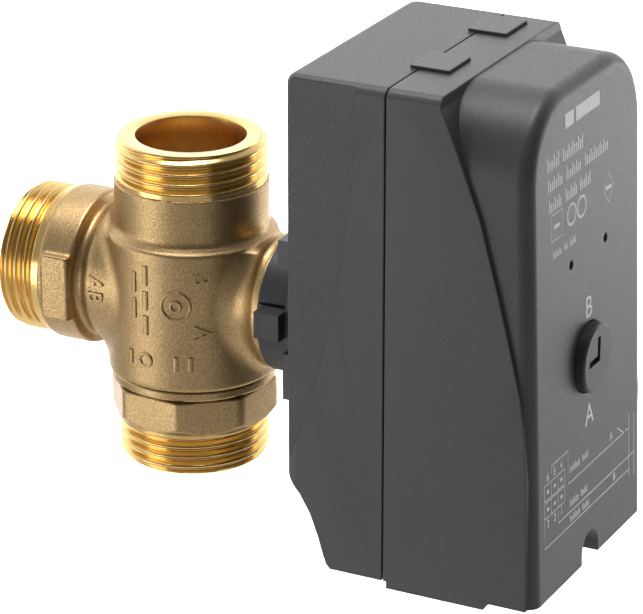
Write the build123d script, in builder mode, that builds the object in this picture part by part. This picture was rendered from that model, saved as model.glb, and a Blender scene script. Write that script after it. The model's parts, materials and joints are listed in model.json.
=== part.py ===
from build123d import *

import math
import os

# Three-way brass ball valve with an electric quarter-turn actuator.
# Z runs up the pipe from the centre of the lower port's end face, the actuator
# points along -Y and the side port along +Y. All sizes in millimetres.

# ---- valve, measured from the crossing of pipe axis and stem axis ----
BALL_Z = 39.5          # crossing above the end face of the lower port A
PORT_B_Z = 34.5        # end face of the upper port B above the crossing
PORT_AB_Y = 40.5       # end face of the side port AB from the crossing
THREAD_R = 16.62       # G1 pipe thread, outside radius
THREAD_LEN = 10.0
THREAD_CHAMFER = 1.1
PORT_BORE_R = 12.1
BARREL_R = 18.9
NECK_R = 17.0
BARREL_TOP = 12.8
BARREL_BOTTOM = -19.0
SHOULDER = 2.4         # height of the slope between barrel and upper neck
AB_NECK_R = 16.2
AB_GROOVE_R = 15.2
AB_COLLAR_R = 17.4
AB_PAD_X = 17.8        # half width across the two raised wrench pads
AB_PAD_HALF = 7.5
AB_PAD_LENGTH = 6.6
AB_GROOVE_Y = 19.4
AB_COLLAR_Y = 21.4
AB_PASSAGE_R = 8.9     # narrow passage from the ball to the side port's bore
AB_BORE_Y = 18.0
BOSS_R = 14.5
BOSS_Y = 24.0
SPIGOT_R = 9.0
SPIGOT_SHOULDER = 28.0
SPIGOT_THREAD_R = 8.0
SPIGOT_END = 34.0
CAVITY_R = 15.6
BALL_R = 15.0
BALL_PORT_R = 9.5
SEAT_R = 14.0
SEAT_LEVEL = 8.8       # start of each seat from the crossing
SEAT_BACK = 13.4
SEAT_BORE_R = 10.0
SEAT_STEP = 2.6        # length of the seat's own bore behind it
END_SCREW_R = 16.9
END_SCREW_TOP = -9.0
END_BAND_R = 18.3
OCTAGON_R = 18.9
OCTAGON_TOP = -21.6
OCTAGON_BOTTOM = -29.6
OCTAGON_TURN = -5.0    # degrees
FIT = 0.02             # radial play of parts that are seated for good
RUN = 0.05             # radial play of parts that turn
STEM_R = 4.0
STEM_FLANGE_R = 6.2
STEM_GROOVE_R = 3.0
STEM_SQUARE = 5.4
STEM_SQUARE_LENGTH = 8.0
TONGUE_D = 12.0        # tongue that drives the ball
TONGUE_X = 2.45
TONGUE_Z = 5.6
STEM_FLANGE_D = 15.2
STEM_FLANGE_END = 17.4
STEM_HOLE_D = 18.0
STEM_RINGS = (20.2, 23.0)
ORING = 0.5            # radius of a stem O-ring's section
RING_GROOVE = 1.2      # width of its groove
GLAND_R = 6.0
GLAND_D = 25.6
GLAND_T = 7.4
END_RING_TOP = -10.6   # groove of the end piece's O-ring
END_RING_LOW = -12.6
END_RING_DEPTH = 1.3
END_RING_R = 0.62
BALL_SLOT_D = 11.8
BALL_SLOT_X = 2.5
BODY_EDGE = 0.6

# ---- actuator, depth d counted from the pipe axis towards the dial ----
CASE_HALF = 30.0
CASE_TOP = 62.4
CASE_BOTTOM = -46.4
SKIRT_BOTTOM = -48.0
CASE_BACK = 38.1
PARTING = 61.6
PLATEAU = 73.4
FACE_LOW = 96.2        # front face at the casing's bottom
FACE_HIGH = 92.4       # front face at the casing's top
WALL = 2.4
CORNER = 3.0
TOP_EDGE = 2.2
GAP_WIDTH = 0.4        # shadow gap round the parting plane
GAP_DEPTH = 0.8
CREASE_DEPTH = 0.7     # the rear of each side lies this much deeper
HUMP_INSET = 0.9
HUMP_DROP = 0.3
HUMP_SHOULDER = 17.0
HUMP_EDGE = 3.0
PEDESTAL_R = 16.6
PEDESTAL_D = 31.2
PEDESTAL_BLOCKS = (((-19.0, 14.8), (19.0, 21.5)), ((-17.2, -15.5), (17.2, -5.0)))
NUT_RECESS_R = 12.8
COLLAR_R = 15.4
LUG_LOW = -1.8
LUG_HIGH = 4.2
LUG_X = 19.0
LUG_D = 25.2
LUG_GROOVE = 0.7       # height of the groove above each lug
LUG_GROOVE_X = 13.7
NUT_R = 11.5
NUT_T = 2.6
DIAL_R = 7.6
DIAL_FACE = 96.8
DIAL_SLOT = 1.0
SHAFT_R = 6.0

# ---- gear train ----
MODULE = 0.75
OUTPUT_TEETH = 56
WHEEL_TEETH = 36
PINION_TEETH = 12
PRESSURE = math.radians(20)
TOOTH_HEAD = 0.8       # in modules
TOOTH_FOOT = 1.15
BACKLASH = 0.12        # taken off each tooth's width at the pitch circle
THIRD_AT = (-9.0, 23.86)     # second compound gear, beside the output gear
SECOND_AT = (8.0, 29.78)     # first compound gear
MOTOR_AT = (-6.0, 41.10)
AXLE_R = 1.5
MOTOR_R = 14.6
PLATE_D = 58.0
PLATE_T = 1.5

os.makedirs("parts", exist_ok=True)


def deep(depth):
    """Plane across the stem axis; its x is the row's X and its y the row's Z."""
    return Plane(origin=(0, -depth, BALL_Z), x_dir=(1, 0, 0), z_dir=(0, -1, 0))


def high(level):
    """Horizontal plane at a height above the crossing."""
    return Plane.XY.offset(BALL_Z + level)


SIDE = Plane(origin=(CASE_HALF, 0, BALL_Z), x_dir=(0, -1, 0), z_dir=(-1, 0, 0))


def save(part, label):
    """Label a finished piece and write its file."""
    part.label = label
    export_step(part, "parts/" + label + ".step")


def ring_face(plane, outer, inner=0.0, at=(0.0, 0.0)):
    """Round or annular face on a plane."""
    with BuildSketch(plane) as face:
        with Locations(at):
            Circle(outer)
            if inner > 0:
                Circle(inner, mode=Mode.SUBTRACT)
    return face.sketch


def box_face(plane, low, top):
    """Rectangle between two opposite corners on a plane."""
    with BuildSketch(plane) as face:
        with Locations(((low[0] + top[0]) / 2, (low[1] + top[1]) / 2)):
            Rectangle(top[0] - low[0], top[1] - low[1])
    return face.sketch


def turned(points):
    """Closed profile in the XZ plane, radius along X and height above the crossing along Z."""
    with BuildSketch(Plane.XZ.offset(0)) as face:
        with BuildLine():
            Polyline([(r, z + BALL_Z) for r, z in points], close=True)
        make_face()
    return face.sketch


def involute(angle):
    """Involute function of a pressure angle."""
    return math.tan(angle) - angle


def gear_face(plane, teeth, at, turn):
    """Spur gear outline, with one tooth's middle in the direction turn (degrees)."""
    pitch = teeth * MODULE / 2
    base = pitch * math.cos(PRESSURE)
    tip = pitch + TOOTH_HEAD * MODULE
    root = pitch - TOOTH_FOOT * MODULE
    at_pitch = math.pi / (2 * teeth) - BACKLASH / (2 * pitch)
    flank = []
    for radius in (root, max(base, root + 0.1), (base + pitch) / 2, pitch, tip):
        spread = math.acos(min(1.0, base / radius)) if radius > base else 0.0
        flank.append((radius, at_pitch + involute(PRESSURE) - involute(spread)))
    outline = []
    for tooth in range(teeth):
        middle = math.radians(turn) + 2 * math.pi * tooth / teeth
        for radius, half in flank:
            outline.append((radius, middle - half))
        for radius, half in reversed(flank):
            outline.append((radius, middle + half))
    with BuildSketch(plane) as face:
        with BuildLine():
            Polyline([(at[0] + r * math.cos(a), at[1] + r * math.sin(a)) for r, a in outline],
                     close=True)
        make_face()
    return face.sketch


def bearing(start, end):
    """Direction of one gear centre from another, in degrees."""
    return math.degrees(math.atan2(end[1] - start[1], end[0] - start[0]))


# ---------------------------------------------------------------- valve body
with BuildPart() as valve_body:
    revolve(
        turned(
            [
                (0, BARREL_BOTTOM),
                (BARREL_R - BODY_EDGE, BARREL_BOTTOM),
                (BARREL_R, BARREL_BOTTOM + BODY_EDGE),
                (BARREL_R, BARREL_TOP),
                (NECK_R, BARREL_TOP + SHOULDER),
                (NECK_R, PORT_B_Z - THREAD_LEN),
                (THREAD_R, PORT_B_Z - THREAD_LEN),
                (THREAD_R, PORT_B_Z - THREAD_CHAMFER),
                (THREAD_R - THREAD_CHAMFER, PORT_B_Z),
                (0, PORT_B_Z),
            ]
        ),
        axis=Axis.Z,
    )
    extrude(ring_face(deep(0), AB_NECK_R), amount=-AB_GROOVE_Y)
    extrude(ring_face(deep(0), BOSS_R), amount=BOSS_Y)
    extrude(ring_face(deep(-AB_GROOVE_Y), AB_GROOVE_R), amount=-(AB_COLLAR_Y - AB_GROOVE_Y))
    extrude(ring_face(deep(-AB_COLLAR_Y), AB_COLLAR_R), amount=-(PORT_AB_Y - THREAD_LEN - AB_COLLAR_Y))
    extrude(box_face(deep(-AB_COLLAR_Y - 0.4), (-AB_PAD_X, -AB_PAD_HALF), (AB_PAD_X, AB_PAD_HALF)),
            amount=-AB_PAD_LENGTH)
    extrude(ring_face(deep(-PORT_AB_Y + THREAD_LEN), THREAD_R), amount=-THREAD_LEN)
    thread_end = valve_body.faces().sort_by(Axis.Y)[-1].edges()
    chamfer(thread_end, THREAD_CHAMFER)
    extrude(ring_face(deep(BOSS_Y), SPIGOT_R), amount=SPIGOT_SHOULDER - BOSS_Y)
    extrude(ring_face(deep(SPIGOT_SHOULDER), SPIGOT_THREAD_R), amount=SPIGOT_END - SPIGOT_SHOULDER)
    # inside
    extrude(ring_face(high(BARREL_BOTTOM), END_SCREW_R + FIT), amount=END_SCREW_TOP - BARREL_BOTTOM,
            mode=Mode.SUBTRACT)
    extrude(ring_face(high(END_SCREW_TOP), CAVITY_R), amount=SEAT_LEVEL - END_SCREW_TOP,
            mode=Mode.SUBTRACT)
    extrude(ring_face(high(SEAT_LEVEL), SEAT_R + FIT), amount=SEAT_BACK - SEAT_LEVEL, mode=Mode.SUBTRACT)
    extrude(ring_face(high(SEAT_BACK), SEAT_BORE_R), amount=SEAT_STEP, mode=Mode.SUBTRACT)
    extrude(ring_face(high(SEAT_BACK + SEAT_STEP), PORT_BORE_R), amount=PORT_B_Z, mode=Mode.SUBTRACT)
    extrude(ring_face(deep(0), AB_PASSAGE_R), amount=-PORT_AB_Y, mode=Mode.SUBTRACT)
    extrude(ring_face(deep(-AB_BORE_Y), PORT_BORE_R), amount=-PORT_AB_Y, mode=Mode.SUBTRACT)
    extrude(ring_face(deep(0), STEM_FLANGE_R + RUN), amount=STEM_HOLE_D + 0.4, mode=Mode.SUBTRACT)
    extrude(ring_face(deep(STEM_HOLE_D), STEM_R + RUN), amount=SPIGOT_END, mode=Mode.SUBTRACT)
    extrude(ring_face(deep(GLAND_D - 0.1), GLAND_R + FIT), amount=SPIGOT_END, mode=Mode.SUBTRACT)
save(valve_body.part, "valve_body")

# ---------------------------------------------------------------- end piece of port A
with BuildPart() as port_a_end_piece:
    revolve(
        turned(
            [
                (0, -BALL_Z),
                (THREAD_R, -BALL_Z),
                (THREAD_R, OCTAGON_TOP),
                (END_BAND_R, OCTAGON_TOP),
                (END_BAND_R, BARREL_BOTTOM),
                (END_SCREW_R, BARREL_BOTTOM),
                (END_SCREW_R, END_RING_LOW),
                (END_SCREW_R - END_RING_DEPTH, END_RING_LOW),
                (END_SCREW_R - END_RING_DEPTH, END_RING_TOP),
                (END_SCREW_R, END_RING_TOP),
                (END_SCREW_R, END_SCREW_TOP),
                (0, END_SCREW_TOP),
            ]
        ),
        axis=Axis.Z,
    )
    with BuildSketch(high(OCTAGON_BOTTOM)) as octagon:
        RegularPolygon(OCTAGON_R, 8, rotation=22.5 + OCTAGON_TURN)
    with BuildPart(mode=Mode.PRIVATE) as nut:
        extrude(octagon.sketch, amount=OCTAGON_TOP - OCTAGON_BOTTOM)
        chamfer(nut.faces().filter_by(Axis.Z).edges(), 0.5)
    add(nut.part)
    extrude(ring_face(high(-SEAT_BACK), SEAT_R + FIT), amount=SEAT_BACK, mode=Mode.SUBTRACT)
    extrude(ring_face(high(-SEAT_BACK - SEAT_STEP), SEAT_BORE_R), amount=2 * SEAT_STEP, mode=Mode.SUBTRACT)
    extrude(ring_face(high(-BALL_Z), PORT_BORE_R), amount=BALL_Z - SEAT_BACK - SEAT_STEP, mode=Mode.SUBTRACT)
save(port_a_end_piece.part, "port_a_end_piece")

with BuildPart() as end_piece_o_ring:
    with BuildSketch(Plane.XZ) as section:
        with Locations((END_SCREW_R - END_RING_DEPTH + END_RING_R + FIT,
                        BALL_Z + (END_RING_LOW + END_RING_TOP) / 2)):
            Circle(END_RING_R)
    revolve(section.sketch, axis=Axis.Z)
save(end_piece_o_ring.part, "end_piece_o_ring")

# ---------------------------------------------------------------- ball and seats
with BuildPart() as ball:
    with Locations((0, 0, BALL_Z)):
        Sphere(BALL_R)
    extrude(ring_face(deep(7.0), BALL_PORT_R), amount=-BALL_R - 7.0, mode=Mode.SUBTRACT)
    extrude(ring_face(high(0), BALL_PORT_R), amount=BALL_R, mode=Mode.SUBTRACT)
    extrude(ring_face(Plane.YZ, BALL_PORT_R, at=(0, BALL_Z)), amount=-BALL_R, mode=Mode.SUBTRACT)
    extrude(box_face(deep(BALL_SLOT_D), (-BALL_SLOT_X, -BALL_R), (BALL_SLOT_X, BALL_R)), amount=BALL_R,
            mode=Mode.SUBTRACT)
save(ball.part, "ball")

for seat_name, side in (("seat_b", 1), ("seat_a", -1)):
    with BuildPart() as seat:
        extrude(ring_face(high(side * SEAT_LEVEL), SEAT_R, SEAT_BORE_R),
                amount=side * (SEAT_BACK - SEAT_LEVEL))
        with Locations((0, 0, BALL_Z)):
            Sphere(BALL_R + RUN, mode=Mode.SUBTRACT)
    save(seat.part, seat_name)

# ---------------------------------------------------------------- stem
with BuildPart() as stem:
    extrude(box_face(deep(TONGUE_D), (-TONGUE_X, -TONGUE_Z), (TONGUE_X, TONGUE_Z)),
            amount=STEM_FLANGE_D - TONGUE_D)
    extrude(ring_face(deep(STEM_FLANGE_D), STEM_FLANGE_R), amount=STEM_FLANGE_END - STEM_FLANGE_D)
    extrude(ring_face(deep(STEM_FLANGE_END), STEM_R), amount=SPIGOT_END - STEM_FLANGE_END)
    extrude(box_face(deep(SPIGOT_END), (-STEM_SQUARE / 2, -STEM_SQUARE / 2),
                     (STEM_SQUARE / 2, STEM_SQUARE / 2)), amount=STEM_SQUARE_LENGTH)
    for depth in STEM_RINGS:
        extrude(ring_face(deep(depth - RING_GROOVE / 2), STEM_R + 1, STEM_GROOVE_R), amount=RING_GROOVE,
                mode=Mode.SUBTRACT)
    chamfer(stem.faces().sort_by(Axis.Y)[0].edges(), 0.5)
save(stem.part, "stem")

with BuildPart() as stem_thrust_washer:
    extrude(ring_face(deep(STEM_FLANGE_END + RUN), STEM_FLANGE_R - 0.1, STEM_R + 0.1), amount=0.9)
save(stem_thrust_washer.part, "stem_thrust_washer")

with BuildPart() as stem_o_rings:
    for depth in STEM_RINGS:
        with BuildSketch(Plane.YZ) as section:
            with Locations((-depth, BALL_Z + STEM_GROOVE_R + ORING + FIT)):
                Circle(ORING)
        revolve(section.sketch, axis=Axis((0, 0, BALL_Z), (0, 1, 0)))
save(stem_o_rings.part, "stem_o_rings")

with BuildPart() as stem_gland:
    extrude(ring_face(deep(GLAND_D), GLAND_R, STEM_R + RUN), amount=GLAND_T)
save(stem_gland.part, "stem_gland")

# ---------------------------------------------------------------- mounting collar
with BuildPart() as mounting_collar:
    extrude(ring_face(deep(BOSS_Y + FIT), COLLAR_R), amount=PEDESTAL_D - BOSS_Y - 2 * FIT)
    for side in (-1, 1):
        start, end = sorted((side * LUG_GROOVE_X, side * (COLLAR_R + 1)))
        extrude(box_face(deep(BOSS_Y), (start, LUG_HIGH), (end, LUG_HIGH + LUG_GROOVE)), amount=PEDESTAL_D,
                mode=Mode.SUBTRACT)
        start, end = sorted((side * SPIGOT_R, side * LUG_X))
        extrude(box_face(deep(LUG_D), (start, LUG_LOW), (end, LUG_HIGH)), amount=PEDESTAL_D - LUG_D - FIT)
    extrude(ring_face(deep(0), SPIGOT_R + FIT), amount=SPIGOT_SHOULDER, mode=Mode.SUBTRACT)
    extrude(ring_face(deep(0), SPIGOT_THREAD_R + FIT), amount=PEDESTAL_D, mode=Mode.SUBTRACT)
save(mounting_collar.part, "mounting_collar")

with BuildPart() as collar_nut:
    with BuildSketch(deep(PEDESTAL_D)) as hexagon:
        RegularPolygon(NUT_R, 6)
        Circle(SPIGOT_THREAD_R + FIT, mode=Mode.SUBTRACT)
    extrude(hexagon.sketch, amount=NUT_T)
save(collar_nut.part, "collar_nut")

# ---------------------------------------------------------------- rear housing
SCOOP = [(49.0, CASE_BOTTOM), (48.1, -45.4), (47.4, -43.5), (46.2, -39.5), (44.3, -34.5), (41.9, -30.4)]
CREASE = [(54.3, CASE_TOP), (54.4, 48.3), (53.5, 37.4), (52.6, 30.8), (51.3, 19.6), (50.4, 12.7),
          (48.5, 6.8), (47.1, 0.9), (44.5, -8.6), (42.2, -16.0), (CASE_BACK - 1, -27.5)]
DIAGONAL = [(PLATEAU, CASE_TOP), (73.7, 60.2), (78.0, 50.0), (82.6, 38.0), (87.1, 21.6), (89.2, 13.3),
            (91.2, 4.9), (92.2, 0.7), (93.0, -5.8), (94.0, -18.0), (94.4, CASE_BOTTOM)]
TABS = ((-14.8, -4.5), (13.2, 24.0))
TAB_END = 68.3
TAB_RISE = 0.7
HOUSING_SCREWS = ((-22.6, 55.6), (22.6, 55.6), (-22.6, -37.0), (22.6, -37.0))
PLATE_POSTS = ((21.0, -20.5), (-21.0, -20.5), (22.0, 46.0), (-22.2, 47.5))
BOARD_POSTS = ((20.0, 12.0), (-20.0, 12.0), (20.0, -28.0), (-20.0, -28.0))
POST_R = 2.6
CORNER_POST_R = 3.6
BOARD_D = 80.0
BOARD_T = 1.6
SMALL_SCREW_R = 1.2
CASE_SCREW_R = 1.5
FLOOR_D = CASE_BACK + WALL


def side_face(points, half):
    """Outline of (depth, height) points on a side plane, half a width from the middle."""
    with BuildSketch(SIDE.offset(CASE_HALF - half)) as face:
        with BuildLine():
            Polyline(points, close=True)
        make_face()
    return face.sketch


with BuildPart() as rear_housing:
    extrude(
        side_face([(CASE_BACK, CASE_TOP), (PARTING, CASE_TOP), (PARTING, CASE_BOTTOM)] + SCOOP
                   + [(CASE_BACK, -26.1)], CASE_HALF),
        amount=2 * CASE_HALF,
    )
    back_edges = rear_housing.faces().sort_by(Axis.Y)[-1].edges().filter_by(Axis.Z)
    fillet(back_edges, CORNER)
    top_edges = rear_housing.faces().sort_by(Axis.Z)[-1].edges()
    fillet([e for e in top_edges if e.center().Y > -PARTING + 0.1], TOP_EDGE)
    for side in (-1, 1):
        with BuildSketch(SIDE.offset(CASE_HALF * (1 - side) - (CREASE_DEPTH if side < 0 else 0))) as recess:
            with BuildLine():
                Polyline(CREASE + [(CASE_BACK - 1, CASE_TOP)], close=True)
            make_face()
        extrude(recess.sketch, amount=CREASE_DEPTH, mode=Mode.SUBTRACT)
    with BuildSketch(deep(PARTING - GAP_WIDTH)) as gap:
        with Locations((0, (CASE_TOP + CASE_BOTTOM) / 2)):
            Rectangle(2 * CASE_HALF + 2, CASE_TOP - CASE_BOTTOM + 2)
            Rectangle(2 * (CASE_HALF - GAP_DEPTH), CASE_TOP - CASE_BOTTOM - 2 * GAP_DEPTH, mode=Mode.SUBTRACT)
    extrude(gap.sketch, amount=GAP_WIDTH + 1, mode=Mode.SUBTRACT)
    extrude(
        side_face([(FLOOR_D, CASE_TOP - WALL), (PARTING, CASE_TOP - WALL), (PARTING, CASE_BOTTOM + WALL),
                    (50.6, CASE_BOTTOM + WALL), (49.4, -42.0), (48.3, -38.2), (46.2, -33.0), (43.6, -28.6),
                    (FLOOR_D, -24.6)], CASE_HALF - WALL),
        amount=2 * (CASE_HALF - WALL),
        mode=Mode.SUBTRACT,
    )
    extrude(ring_face(deep(PEDESTAL_D), PEDESTAL_R), amount=FLOOR_D - PEDESTAL_D)
    for low, top in PEDESTAL_BLOCKS:
        extrude(box_face(deep(PEDESTAL_D), low, top), amount=FLOOR_D - PEDESTAL_D)
    for x, z in PLATE_POSTS:
        extrude(ring_face(deep(FLOOR_D), POST_R, at=(x, z)), amount=PLATE_D - FLOOR_D)
    for x, z in (THIRD_AT, SECOND_AT):
        extrude(ring_face(deep(FLOOR_D), 3.2, at=(x, z)), amount=1.4)
    with BuildPart(mode=Mode.PRIVATE) as corners:
        for x, z in HOUSING_SCREWS:
            start = FLOOR_D if z > 0 else 49.0
            extrude(ring_face(deep(start), CORNER_POST_R, at=(x, z)), amount=PARTING - start)
            side = 1 if x > 0 else -1
            extrude(box_face(deep(start), (min(x, side * (CASE_HALF - 1)), z - 1.5),
                             (max(x, side * (CASE_HALF - 1)), z + 1.5)), amount=PARTING - start)
    add(corners.part)
    for x0, x1 in TABS:
        extrude(box_face(deep(PARTING - 2.0), (x0, CASE_TOP - WALL), (x1, CASE_TOP + TAB_RISE)),
                amount=TAB_END - PARTING + 2.0)
    # holes
    extrude(ring_face(deep(PEDESTAL_D - 1), NUT_RECESS_R), amount=4.2, mode=Mode.SUBTRACT)
    extrude(ring_face(deep(PEDESTAL_D), SHAFT_R + 1.6), amount=FLOOR_D, mode=Mode.SUBTRACT)
    for x, z in PLATE_POSTS:
        extrude(ring_face(deep(50.0), SMALL_SCREW_R + FIT, at=(x, z)), amount=9.0, mode=Mode.SUBTRACT)
    for x, z in (THIRD_AT, SECOND_AT):
        extrude(ring_face(deep(39.6), AXLE_R + FIT, at=(x, z)), amount=4.0, mode=Mode.SUBTRACT)
    for x, z in HOUSING_SCREWS:
        extrude(ring_face(deep(CASE_BACK - 1), 3.0 if z > 0 else 2.9, at=(x, z)),
                amount=5.0 if z > 0 else 13.0, mode=Mode.SUBTRACT)
        extrude(ring_face(deep(CASE_BACK), CASE_SCREW_R + 0.1, at=(x, z)), amount=PARTING, mode=Mode.SUBTRACT)
save(rear_housing.part, "rear_housing")

# ---------------------------------------------------------------- front cover
LEAN = (FACE_LOW - FACE_HIGH) / (CASE_TOP - CASE_BOTTOM)


def face_at(level):
    """Depth of the leaning front face at a height."""
    return FACE_HIGH + LEAN * (CASE_TOP - level)


NOTCH_R = 4.3
NOTCH_TOP = -40.0
SOCKET_HALF = 10.0
SOCKET_BACK = 66.0
SOCKET_FRONT = 80.0
PIN_HOLES = ((-9.0, 23.4), (9.0, 23.4))
SKIRT_START = 62.3
SKIRT_END = 84.8

with BuildPart() as front_cover:
    extrude(
        side_face([(PARTING, CASE_TOP)] + DIAGONAL + [(PARTING, CASE_BOTTOM)], CASE_HALF),
        amount=2 * CASE_HALF,
    )
    rim = [e for e in front_cover.edges().filter_by(Axis.Y) if e.center().Z > BALL_Z + CASE_TOP - 0.1]
    fillet(rim, TOP_EDGE)
    with BuildSketch(deep(PLATEAU - 3.0)) as tombstone:
        half = CASE_HALF - HUMP_INSET
        with BuildLine():
            Polyline((-half, CASE_TOP - HUMP_DROP - HUMP_SHOULDER), (-half, CASE_BOTTOM),
                     (half, CASE_BOTTOM), (half, CASE_TOP - HUMP_DROP - HUMP_SHOULDER))
            RadiusArc((half, CASE_TOP - HUMP_DROP - HUMP_SHOULDER),
                      (half - HUMP_SHOULDER, CASE_TOP - HUMP_DROP), -HUMP_SHOULDER)
            Line((half - HUMP_SHOULDER, CASE_TOP - HUMP_DROP),
                 (-half + HUMP_SHOULDER, CASE_TOP - HUMP_DROP))
            RadiusArc((-half + HUMP_SHOULDER, CASE_TOP - HUMP_DROP),
                      (-half, CASE_TOP - HUMP_DROP - HUMP_SHOULDER), -HUMP_SHOULDER)
        make_face()
    with BuildPart(mode=Mode.PRIVATE) as hump:
        extrude(tombstone.sketch, amount=FACE_LOW - PLATEAU + 3.0)
        extrude(
            side_face([(FACE_HIGH - LEAN * 5, CASE_TOP + 5), (FACE_LOW + 5, CASE_TOP + 5),
                        (FACE_LOW + 5, CASE_BOTTOM - 1), (FACE_LOW, CASE_BOTTOM)], CASE_HALF),
            amount=2 * CASE_HALF,
            mode=Mode.SUBTRACT,
        )
        rounded = [e for e in hump.faces().sort_by(Axis.Y)[0].edges()
                   if e.center().Z > BALL_Z + CASE_BOTTOM + 0.5]
        fillet(rounded, HUMP_EDGE)
    add(hump.part)
    extrude(
        side_face([(SKIRT_START, CASE_BOTTOM + 1), (SKIRT_START, SKIRT_BOTTOM), (SKIRT_END, SKIRT_BOTTOM),
                    (SKIRT_END + 1.4, CASE_BOTTOM + 1)], CASE_HALF),
        amount=2 * CASE_HALF,
    )
    # hollow inside
    with BuildPart(mode=Mode.PRIVATE) as hollow:
        extrude(
            side_face([(PARTING, CASE_TOP - WALL), (PLATEAU - WALL, CASE_TOP - WALL), (75.0, 50.0),
                        (79.6, 38.0), (84.1, 21.6), (88.2, 4.9), (90.0, -5.8), (91.4, -18.0),
                        (91.8, CASE_BOTTOM + WALL), (PARTING, CASE_BOTTOM + WALL)], CASE_HALF - WALL),
            amount=2 * (CASE_HALF - WALL),
        )
        inner = CASE_HALF - HUMP_INSET - WALL
        with BuildSketch(deep(PARTING)) as inner_tombstone:
            with BuildLine():
                Polyline((-inner, 44.0), (-inner, CASE_BOTTOM + WALL), (inner, CASE_BOTTOM + WALL),
                         (inner, 44.0), (inner - 5.0, 54.0), (inner - 14.0, 59.2), (-inner + 14.0, 59.2),
                         (-inner + 5.0, 54.0), close=True)
            make_face()
        extrude(inner_tombstone.sketch, amount=FACE_LOW - PARTING)
        extrude(
            side_face([(FACE_HIGH - WALL - LEAN * 5, CASE_TOP + 5), (FACE_LOW + 5, CASE_TOP + 5),
                        (FACE_LOW + 5, CASE_BOTTOM - 1), (FACE_LOW - WALL, CASE_BOTTOM)], CASE_HALF),
            amount=2 * CASE_HALF,
            mode=Mode.SUBTRACT,
        )
    add(hollow.part, mode=Mode.SUBTRACT)
    with BuildPart(mode=Mode.PRIVATE) as corners:
        for x, z in HOUSING_SCREWS:
            side = 1 if x > 0 else -1
            extrude(ring_face(deep(PARTING), CORNER_POST_R, at=(x, z)), amount=9.0)
            extrude(box_face(deep(PARTING), (min(x, side * (CASE_HALF - 1)), z - 1.5),
                             (max(x, side * (CASE_HALF - 1)), z + 1.5)), amount=9.0)
        for x, z in BOARD_POSTS:
            extrude(ring_face(deep(BOARD_D + BOARD_T), POST_R, at=(x, z)),
                    amount=face_at(z) - 1.0 - BOARD_D - BOARD_T)
    add(corners.part)
    for x, z in HOUSING_SCREWS:
        extrude(ring_face(deep(PARTING), CASE_SCREW_R + FIT, at=(x, z)), amount=8.0, mode=Mode.SUBTRACT)
    for x, z in BOARD_POSTS:
        extrude(ring_face(deep(BOARD_D), SMALL_SCREW_R + FIT, at=(x, z)), amount=8.0, mode=Mode.SUBTRACT)
    # openings
    extrude(ring_face(deep(80.0), DIAL_R + 0.25), amount=20.0, mode=Mode.SUBTRACT)
    for x, z in PIN_HOLES:
        extrude(ring_face(deep(80.0), 1.0, at=(x, z)), amount=20.0, mode=Mode.SUBTRACT)
    with BuildSketch(deep(86.0)) as notch:
        with Locations((0, NOTCH_TOP - NOTCH_R)):
            Circle(NOTCH_R)
        with Locations((0, NOTCH_TOP - NOTCH_R - 5)):
            Rectangle(2 * NOTCH_R, 10)
    extrude(notch.sketch, amount=14.0, mode=Mode.SUBTRACT)
    with BuildSketch(high(SKIRT_BOTTOM - 1)) as mouth:
        with Locations((0, -(SOCKET_BACK + SOCKET_FRONT) / 2)):
            Rectangle(2 * SOCKET_HALF, SOCKET_FRONT - SOCKET_BACK)
    extrude(mouth.sketch, amount=6.0, mode=Mode.SUBTRACT)
    for x0, x1 in TABS:
        extrude(box_face(deep(PARTING), (x0 - 0.15, CASE_TOP - WALL - 0.15), (x1 + 0.15, CASE_TOP + 2)),
                amount=TAB_END - PARTING + 0.2, mode=Mode.SUBTRACT)
save(front_cover.part, "front_cover")

# ---------------------------------------------------------------- screws
def screw(head_d, shank_r, length, head_r, head_t, at):
    """Pan head screw driven along the stem axis, its head's inner face at head_d."""
    side = 1 if length > 0 else -1
    extrude(ring_face(deep(head_d), shank_r, at=at), amount=length)
    extrude(ring_face(deep(head_d), head_r, at=at), amount=-side * head_t)
    extrude(box_face(deep(head_d - side * head_t), (at[0] - 0.35, at[1] - head_r * 0.7),
                     (at[0] + 0.35, at[1] + head_r * 0.7)), amount=side * 0.7, mode=Mode.SUBTRACT)
    extrude(box_face(deep(head_d - side * head_t), (at[0] - head_r * 0.7, at[1] - 0.35),
                     (at[0] + head_r * 0.7, at[1] + 0.35)), amount=side * 0.7, mode=Mode.SUBTRACT)


with BuildPart() as housing_screws:
    for x, z in HOUSING_SCREWS:
        start = CASE_BACK + 4.0 if z > 0 else CASE_BACK + 12.0
        screw(start, CASE_SCREW_R, PARTING + 7.0 - start, 2.7, 2.0, (x, z))
save(housing_screws.part, "housing_screws")

# ---------------------------------------------------------------- gear plate
EAR_REACH = MOTOR_R + 2.5
MOTOR_EARS = tuple(
    (MOTOR_AT[0] + EAR_REACH * math.cos(math.radians(a)), MOTOR_AT[1] + EAR_REACH * math.sin(math.radians(a)))
    for a in (-5.0, 235.0)
)
SWITCH_PINS = ((-4.5, -17.0), (4.5, -17.0))
SWITCH_PIN_R = 1.0
PLATE_FRONT = PLATE_D + PLATE_T
KEY_HALF = 1.0
KEY_R = 7.0

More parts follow.
